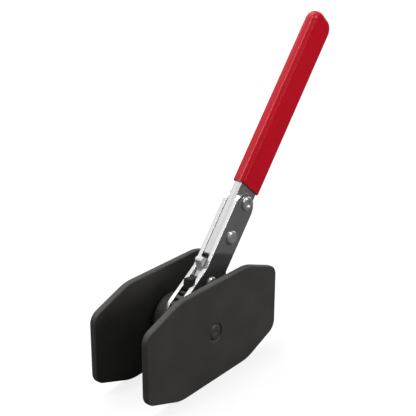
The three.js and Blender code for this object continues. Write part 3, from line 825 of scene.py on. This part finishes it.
def side_plate(name, node, side):
    """Blanked strip with a round head. Its outer edges are rolled over, its inner edges are crisp."""
    reach = math.hypot(STRIP_HALF_WIDTH, STRIP_START)
    flare = math.asin(HEAD_RADIUS / reach) - math.atan2(STRIP_HALF_WIDTH, STRIP_START)
    top = STRIP_END - STRIP_HALF_WIDTH
    outline = [(STRIP_HALF_WIDTH, STRIP_START)]
    outline += arc((0, top), STRIP_HALF_WIDTH, 0, math.pi, 40)
    outline += [(-STRIP_HALF_WIDTH, STRIP_START)]
    outline += arc((0, 0), HEAD_RADIUS, math.pi - flare, 2 * math.pi + flare, 96)
    inner = side * BAR_SPACE / 2
    outer = side * (BAR_SPACE / 2 + SIDE_PLATE_THICKNESS)
    plate = blank(name, outline, min(inner, outer), max(inner, outer))
    soften_rim(plate, outer, SIDE_PLATE_ROLL, 5)
    soften_rim(plate, inner, SIDE_PLATE_INNER_EDGE, 2)
    near = min(inner, outer) - 1
    far = max(inner, outer) + 1
    rivets_at = (UPPER_RIVET_AT, LOWER_RIVET_AT, PAWL_PIVOT_AT)
    holes = [drill(RIVET_RADIUS + CLEARANCE, near, far, z=at) for at in rivets_at]
    cut(plate, drill(SLEEVE_RADIUS + CLEARANCE, near, far, steps=128), *holes)
    return finish(plate, HANDLE_PLACE, "handle", PLATING, "nickel_plate", node)


def handle_bar():
    outline = rounded([(BAR_HALF_WIDTH, BAR_START, 1), (BAR_HALF_WIDTH, BAR_END, BAR_END_RADIUS),
                       (-BAR_HALF_WIDTH, BAR_END, BAR_END_RADIUS), (-BAR_HALF_WIDTH, BAR_START, 1)])
    bar = blank("flat_bar", outline, -BAR_HALF_THICKNESS, BAR_HALF_THICKNESS)
    soften(bar, BAR_EDGE_ROUND, 4)
    rivets_at = (UPPER_RIVET_AT, LOWER_RIVET_AT)
    holes = [drill(RIVET_RADIUS + CLEARANCE, -BAR_SPACE, BAR_SPACE, z=at) for at in rivets_at]
    top = BAR_START + DETENT_HOLE_DEPTH
    pocket = upright(turned("pocket", [(0, BAR_START - 1), (DETENT_HOLE_RADIUS, BAR_START - 1),
                                       (DETENT_HOLE_RADIUS, top), (0, top + 0.8)], 32))
    cut(bar, *holes, pocket)
    return finish(bar, HANDLE_PLACE, "handle", BAR_STEEL, "bar_steel", "handle_bar")


def dipped_grip():
    """Dipped sleeve: full rounded edges, soft closed end, trimmed open end with softened edges."""
    low = GRIP_START - 2 * GRIP_END_RADIUS
    wide, corner = GRIP_HALF_WIDTH, GRIP_END_RADIUS
    outline = rounded([(wide, low, corner), (wide, GRIP_END, corner),
                       (-wide, GRIP_END, corner), (-wide, low, corner)], 14)
    grip = blank("dipped_grip", outline, -GRIP_HALF_THICKNESS, GRIP_HALF_THICKNESS)
    soften(grip, GRIP_EDGE_ROUND, 10)
    pick(grip)
    bpy.ops.object.mode_set(mode="EDIT")
    bpy.ops.mesh.select_all(action="SELECT")
    bpy.ops.mesh.bisect(plane_co=(0, 0, GRIP_START * MM), plane_no=(0, 0, 1), use_fill=True, clear_inner=True)
    tidy_faces()
    wall = BAR_HALF_WIDTH + CLEARANCE
    depth = PIECE_HALF + CLEARANCE
    roof = BAR_END + CLEARANCE
    mouth = GRIP_START - 1
    pocket_outline = rounded([(wall, mouth, 0.3), (wall, roof, BAR_END_RADIUS),
                              (-wall, roof, BAR_END_RADIUS), (-wall, mouth, 0.3)])
    cut(grip, blank("pocket", pocket_outline, -depth, depth))
    soften(grip, 0.45, 3, 60)
    return finish(grip, HANDLE_PLACE, "handle", VINYL, "red_vinyl", "handle_grip", smooth=50)


# Head outlines as (share of the head's radius, share of its height), from the rim to the axis.
TUBULAR_HEAD = [
    (0.94, 0.0), (1.0, 0.14), (1.0, 0.34), (0.96, 0.58), (0.88, 0.80), (0.77, 0.94), (0.66, 1.0),
    (0.55, 0.96), (0.46, 0.82), (0.40, 0.62), (0.36, 0.46), (0.30, 0.36), (0.18, 0.32), (0.0, 0.31)]
DOMED_HEAD = [
    (0.96, 0.0), (1.0, 0.10), (0.99, 0.26), (0.94, 0.46), (0.86, 0.64), (0.74, 0.80), (0.60, 0.92),
    (0.46, 0.985), (0.34, 1.0), (0.26, 0.97), (0.20, 0.88), (0.15, 0.80), (0.08, 0.77), (0.0, 0.76)]


def rivet(name, node, at, head, height, across=RIVET_HEAD_RADIUS):
    """Set rivet with the same head on both side plates."""
    base = BAR_SPACE / 2 + SIDE_PLATE_THICKNESS + HEAD_SEAT_GAP
    half = [(RIVET_RADIUS, base)] + [(across * share, base + height * up) for share, up in head]
    profile = [(radius, -y) for radius, y in reversed(half)] + half
    piece = turned(name, profile, 64)
    shift(piece, z=at)
    return finish(piece, HANDLE_PLACE, "handle", RIVET_PLATING, "nickel_plate", node, smooth=50)


def pawl_bush():
    inner = RIVET_RADIUS + CLEARANCE
    bush = turned("pawl_bush_turned", [(inner, -PIECE_HALF), (PAWL_BUSH_RADIUS, -PIECE_HALF),
                                       (PAWL_BUSH_RADIUS, PIECE_HALF), (inner, PIECE_HALF)], 48)
    soften(bush, 0.12, 2)
    shift(bush, z=PAWL_PIVOT_AT)
    return finish(bush, HANDLE_PLACE, "handle", BRONZE, "bronze", "pawl_bush")


def detent_plunger():
    tip = PAWL_PIVOT_AT + PAWL_BOSS_RADIUS + CLEARANCE
    nose = arc((0, tip + PLUNGER_RADIUS), PLUNGER_RADIUS, -math.pi / 2, 0, 8)
    top = tip + PLUNGER_LENGTH
    tail = [(PLUNGER_RADIUS, top - 0.2), (PLUNGER_RADIUS - 0.2, top), (0, top)]
    plunger = upright(turned("plunger", [(0, tip)] + nose[1:] + tail, 40))
    return finish(plunger, HANDLE_PLACE, "detent", SPRING_STEEL, "spring_steel", "detent_plunger")


def detent_spring():
    """A coil wound from round wire: one section spun along the handle as a screw."""
    clear_selection()
    bpy.ops.mesh.primitive_circle_add(vertices=12, radius=SPRING_WIRE_RADIUS * MM, fill_type="NOTHING",
                                      location=(SPRING_RADIUS * MM, 0, 0), rotation=(math.pi / 2, 0, 0))
    spring = bpy.context.active_object
    spring.name = "coil_spring"
    bpy.ops.object.transform_apply(location=True, rotation=True, scale=True)
    winding = spring.modifiers.new("wind", "SCREW")
    winding.axis = "Z"
    winding.angle = 2 * math.pi
    winding.iterations = SPRING_TURNS
    winding.screw_offset = SPRING_LENGTH / SPRING_TURNS * MM
    winding.steps = SPRING_STEPS
    winding.render_steps = SPRING_STEPS
    apply_modifiers(spring)
    bpy.ops.object.mode_set(mode="EDIT")
    bpy.ops.mesh.select_mode(type="EDGE")
    bpy.ops.mesh.select_all(action="DESELECT")
    bpy.ops.mesh.select_non_manifold()
    bpy.ops.mesh.edge_face_add()
    tidy_faces()
    top = BAR_START + DETENT_HOLE_DEPTH - CLEARANCE
    shift(spring, z=top - SPRING_WIRE_RADIUS - SPRING_LENGTH)
    return finish(spring, HANDLE_PLACE, "handle", SPRING_STEEL, "spring_steel", "detent_spring", smooth=60)


# ------------------------------------------------------------------ pawl

def claw_point(radius, offset):
    """A point of the claw in (x, z), by its distance from the screw axis and from the claw's middle."""
    return (-radius * math.sin(CLAW_ANGLE) + offset * math.cos(CLAW_ANGLE),
            radius * math.cos(CLAW_ANGLE) + offset * math.sin(CLAW_ANGLE))


def pawl_arm(name, mirrored):
    """One arm, drawn with its claw home on the -X side, then rocked back to neutral."""
    corners = [claw_point(CLAW_TIP_RADIUS, CLAW_TIP_HALF_WIDTH),
               claw_point(CLAW_ROOT_RADIUS, CLAW_ROOT_HALF_WIDTH),
               (-4.2, PAWL_PIVOT_AT - 3.6), (-1, PAWL_PIVOT_AT + PAWL_BOSS_RADIUS - 0.5),
               claw_point(CLAW_ROOT_RADIUS + 2.6, -CLAW_ROOT_HALF_WIDTH),
               claw_point(CLAW_ROOT_RADIUS, -CLAW_ROOT_HALF_WIDTH),
               claw_point(CLAW_TIP_RADIUS, -CLAW_TIP_HALF_WIDTH)]
    along, across = math.cos(PAWL_ROCK), math.sin(PAWL_ROCK)
    rocked = []
    for x, z in corners:
        rise = z - PAWL_PIVOT_AT
        rocked.append((x * along + rise * across, PAWL_PIVOT_AT - x * across + rise * along))
    if mirrored:
        rocked = [(-x, z) for x, z in reversed(rocked)]
    return blank(name, rocked, -PIECE_HALF, PIECE_HALF)


def pawl_rocker():
    """Round boss with two claw arms and the thumb lever on its -X side."""
    piece = drill(PAWL_BOSS_RADIUS, -PIECE_HALF, PIECE_HALF, z=PAWL_PIVOT_AT, steps=64)
    piece.name = "pawl_rocker"
    ear = blank("ear", rounded(EAR, 5), -PIECE_HALF, PIECE_HALF)
    join(piece, pawl_arm("left_arm", False), pawl_arm("right_arm", True), ear)
    cut(piece, drill(PAWL_BUSH_RADIUS + CLEARANCE, -PIECE_HALF - 1, PIECE_HALF + 1, z=PAWL_PIVOT_AT))
    soften(piece, 0.45, 4, 30)
    return finish(piece, HANDLE_PLACE, "rocking_pawl", PAWL_PLATING, "nickel_plate", "pawl")


# ------------------------------------------------------------------ assembly

press_plate("plate_front", "front_press", "front_press_plate", FRONT_FACE, 1)
press_plate("plate_rear", "rear_press", "rear_press_plate", REAR_FACE, -1)
screw("screw_right_hand", "front_press", "front_screw", FRONT_FACE, 1, 1)
screw("screw_left_hand", "rear_press", "rear_screw", REAR_FACE, -1, -1)
toothed_ring()
sleeve_drum()
sleeve_key("key_right", "sleeve_key_right", 1)
sleeve_key("key_left", "sleeve_key_left", -1)
thrust_washer("washer_front", "front_thrust_washer", -1)
thrust_washer("washer_rear", "rear_thrust_washer", 1)
side_plate("strip_front", "front_side_plate", -1)
side_plate("strip_rear", "rear_side_plate", 1)
handle_bar()
dipped_grip()
rivet("rivet_top", "upper_rivet", UPPER_RIVET_AT, TUBULAR_HEAD, UPPER_HEAD_HEIGHT)
rivet("rivet_low", "lower_rivet", LOWER_RIVET_AT, DOMED_HEAD, LOWER_HEAD_HEIGHT)
rivet("rivet_pivot", "pawl_rivet", PAWL_PIVOT_AT, DOMED_HEAD, PIVOT_HEAD_HEIGHT, PIVOT_HEAD_RADIUS)
pawl_bush()
detent_plunger()
detent_spring()
pawl_rocker()


# ------------------------------------------------------------------ studio

CAMERA_FROM_HEAD = Vector((-0.38939, -0.32293, 0.26335))
CAMERA_BEARING = math.radians(51.680)  # away from +Y, towards +X
CAMERA_DIP = math.radians(21.03)
CAMERA_ROLL = math.radians(0.263)
CAMERA_LENS = 86.36

FLOOR_SIZE = 12
FLOOR_TO_CAMERA = (0.25, 0.25, 0.25, 1)
FLOOR_TO_TOOL = (0.10, 0.10, 0.10, 1)
FLOOR_GLOW = 0.80                      # seen by the camera only

SKY_LOW = 0.06
SKY_HIGH = 0.45
SKY_HIGH_AT = 0.8                      # sine of the height at which the sky is fully bright

SOFTBOXES = {                          # direction, distance, width, height, radiance
    "upper_wall": ((-0.50, 0.62, 0.60), 1.5, 1.6, 1.1, 0.72),
    "key_strip": ((-0.45, 0.13, 0.885), 1.35, 0.22, 0.8, 7.5),
    "top_panel": ((0.25, 0.55, 0.80), 1.6, 1.4, 1.4, 1.4),
    "right_panel": ((0.95, 0.10, 0.30), 1.3, 0.6, 0.8, 1.2),
    "rivet_light": ((0.25, -0.62, 0.74), 1.3, 0.45, 0.45, 6.0),
    "front_fill": ((0.45, -0.88, 0.12), 1.3, 0.8, 0.8, 4.7),
}


def pale_floor():
    """A plain matt floor, paler to the camera than it looks in the tool's reflections."""
    clear_selection()
    bpy.ops.mesh.primitive_plane_add(size=FLOOR_SIZE, location=(0, 0, 0))
    floor = bpy.context.active_object
    floor.name = "studio_floor"
    material = bpy.data.materials.new("pale_floor")
    material.use_nodes = True
    graph = Graph(material.node_tree)
    shader = material.node_tree.nodes["Principled BSDF"]
    shader.inputs["Roughness"].default_value = 0.9
    shader.inputs["Specular IOR Level"].default_value = 0.1
    seen = graph.node("ShaderNodeLightPath").outputs["Is Camera Ray"]
    graph.feed(shader.inputs["Base Color"], graph.mix(seen, FLOOR_TO_TOOL, FLOOR_TO_CAMERA))
    shader.inputs["Emission Color"].default_value = (1, 1, 1, 1)
    graph.feed(shader.inputs["Emission Strength"], graph.math("MULTIPLY", seen, FLOOR_GLOW))
    floor.data.materials.append(material)


def studio_sky():
    """A dim even room, a little brighter overhead."""
    world = bpy.data.worlds.new("studio")
    bpy.context.scene.world = world
    world.use_nodes = True
    graph = Graph(world.node_tree)
    background = world.node_tree.nodes["Background"]
    direction = graph.node("ShaderNodeTexCoord").outputs["Generated"]
    height = graph.node("ShaderNodeSeparateXYZ", Vector=direction).outputs["Z"]
    graph.feed(background.inputs["Strength"], graph.spread(height, 0.0, SKY_HIGH_AT, SKY_LOW, SKY_HIGH))
    background.inputs["Color"].default_value = (1, 1, 1, 1)


def softbox(name, direction, distance, width, height, radiance):
    """A square-on panel, aimed at the head from a direction. Radiance is what a reflection of it shows."""
    panel = bpy.data.lights.new(name, "AREA")
    panel.shape = "RECTANGLE"
    panel.size = width
    panel.size_y = height
    panel.energy = radiance * 4 * width * height
    lamp = bpy.data.objects.new(name, panel)
    bpy.context.scene.collection.objects.link(lamp)
    away = Vector(direction).normalized()
    facing = away.to_track_quat("Z", "Y").to_matrix().to_4x4()
    lamp.matrix_world = Matrix.Translation(HEAD_CENTRE + away * distance) @ facing
    return lamp


def studio_lights():
    """The rivet light gives highlights only, and the front fill lights faces without being reflected."""
    lamps = {name: softbox(name, *settings) for name, settings in SOFTBOXES.items()}
    lamps["rivet_light"].visible_diffuse = False
    lamps["front_fill"].visible_glossy = False


def camera():
    """Turned to its bearing, tipped down by its dip and rolled by a hair."""
    lens = bpy.data.cameras.new("camera")
    lens.lens = CAMERA_LENS
    lens.sensor_width = 36
    lens.clip_start = 0.01
    lens.clip_end = 50
    eye = bpy.data.objects.new("camera", lens)
    bpy.context.scene.collection.objects.link(eye)
    place = Matrix.Translation(HEAD_CENTRE + CAMERA_FROM_HEAD)
    turn = Matrix.Rotation(-CAMERA_BEARING, 4, "Z") @ Matrix.Rotation(math.pi / 2 - CAMERA_DIP, 4, "X")
    eye.matrix_world = place @ turn @ Matrix.Rotation(CAMERA_ROLL, 4, "Z")
    bpy.context.scene.camera = eye


pale_floor()
studio_sky()
studio_lights()
camera()
bpy.context.scene.view_settings.view_transform = "Standard"
